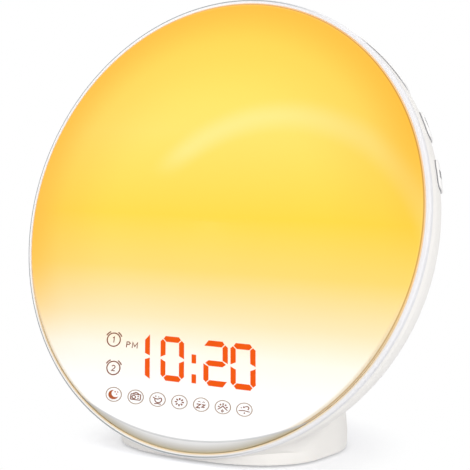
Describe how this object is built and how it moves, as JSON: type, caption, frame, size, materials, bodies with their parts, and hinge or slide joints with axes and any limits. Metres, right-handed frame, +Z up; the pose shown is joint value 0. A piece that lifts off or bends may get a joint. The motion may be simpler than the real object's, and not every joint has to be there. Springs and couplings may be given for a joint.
{
  "type": "sunrise alarm clock",
  "caption": "Round tilted lamp face with a digital clock showing through it, in a moulded white housing on a short foot, with keys on its rim.",
  "frame": {"origin": "on the table, below the middle of the whole clock", "axes": "-Y to the front, where the face looks; +Z up; +X to the right of someone facing the clock"},
  "size_m": [0.1698, 0.0747, 0.1658],
  "materials": {
    "opal_plastic": "satin opal",
    "white_plastic": "fine matt",
    "key_plastic": "satin",
    "reflector_plastic": "gloss white",
    "black_plastic": "matt",
    "smoked_film": "satin",
    "light_guide": "clear",
    "idle_guide": "clear",
    "circuit_board": "solder mask",
    "white_board": "white solder mask",
    "led_package": "phosphor",
    "chip_package": "epoxy",
    "steel": "zinc plated",
    "switch_plastic": "moulded",
    "foam": "foam",
    "rubber": "matt",
    "cone_paper": "coated",
    "capacitor_sleeve": "sleeved",
    "contact_metal": "nickel plated"
  },
  "bodies": {
    "root": {"aerial_bushing": "black_plastic", "base_plate": "white_plastic", "base_screws": "steel", "bezel_ring": "white_plastic", "cell_contacts": "contact_metal", "coin_cell": "steel", "display_board": "circuit_board", "display_housing": "black_plastic", "display_leds": "led_package", "display_mask": "smoked_film", "display_screws": "steel", "front_diffuser": "opal_plastic", "housing_screws": "steel", "housing_shell": "white_plastic", "idle_light_guides": "idle_guide", "lamp_board": "white_board", "lamp_leds": "led_package", "lamp_reflector": "reflector_plastic", "lamp_screws": "steel", "left_board_screws": "steel", "left_key_board": "circuit_board", "left_switches": "switch_plastic", "main_board": "circuit_board", "main_board_capacitors": "capacitor_sleeve", "main_board_chips": "chip_package", "main_board_screws": "steel", "power_socket": "black_plastic", "right_board_screws": "steel", "right_key_board": "circuit_board", "right_switches": "switch_plastic", "rubber_feet": "rubber", "segment_light_guides": "light_guide", "snooze_board_screws": "steel", "snooze_key_board": "circuit_board", "snooze_switches": "switch_plastic", "speaker_cone": "cone_paper", "speaker_frame": "steel", "speaker_gasket": "foam", "speaker_magnet": "steel", "speaker_screws": "steel"},
    "snooze_bar": {"snooze_bar": "key_plastic", "snooze_plunger": "switch_plastic"},
    "battery_cover": {"battery_cover": "white_plastic"},
    "left_lower_key": {"left_lower_key": "key_plastic", "left_lower_plunger": "switch_plastic"},
    "left_upper_key": {"left_upper_key": "key_plastic", "left_upper_plunger": "switch_plastic"},
    "right_lower_key": {"right_lower_key": "key_plastic", "right_lower_plunger": "switch_plastic"},
    "right_upper_key": {"right_upper_key": "key_plastic", "right_upper_plunger": "switch_plastic"}
  },
  "joints": [
    {"name": "snooze_press", "type": "slide", "parent": "root", "child": "snooze_bar", "axis": [0, -0.2588, -0.9659], "range_m": [0, 0.0005], "stiffness_N_per_m": 900, "springref_m": -0.0008},
    {"name": "right_lower_press", "type": "slide", "parent": "root", "child": "right_lower_key", "axis": [-0.9295, -0.0955, -0.3564], "range_m": [0, 0.0006], "stiffness_N_per_m": 600, "springref_m": -0.0008},
    {"name": "right_upper_press", "type": "slide", "parent": "root", "child": "right_upper_key", "axis": [-0.9295, -0.0955, -0.3564], "range_m": [0, 0.0006], "stiffness_N_per_m": 600, "springref_m": -0.0008},
    {"name": "left_lower_press", "type": "slide", "parent": "root", "child": "left_lower_key", "axis": [0.9295, -0.0955, -0.3564], "range_m": [0, 0.0006], "stiffness_N_per_m": 600, "springref_m": -0.0008},
    {"name": "left_upper_press", "type": "slide", "parent": "root", "child": "left_upper_key", "axis": [0.9295, -0.0955, -0.3564], "range_m": [0, 0.0006], "stiffness_N_per_m": 600, "springref_m": -0.0008},
    {"name": "cover_turn", "type": "hinge", "parent": "root", "child": "battery_cover", "pos_m": [0, 0.0007, 0.0008], "axis": [0, 0, 1], "range_deg": [0, 45]}
  ]
}
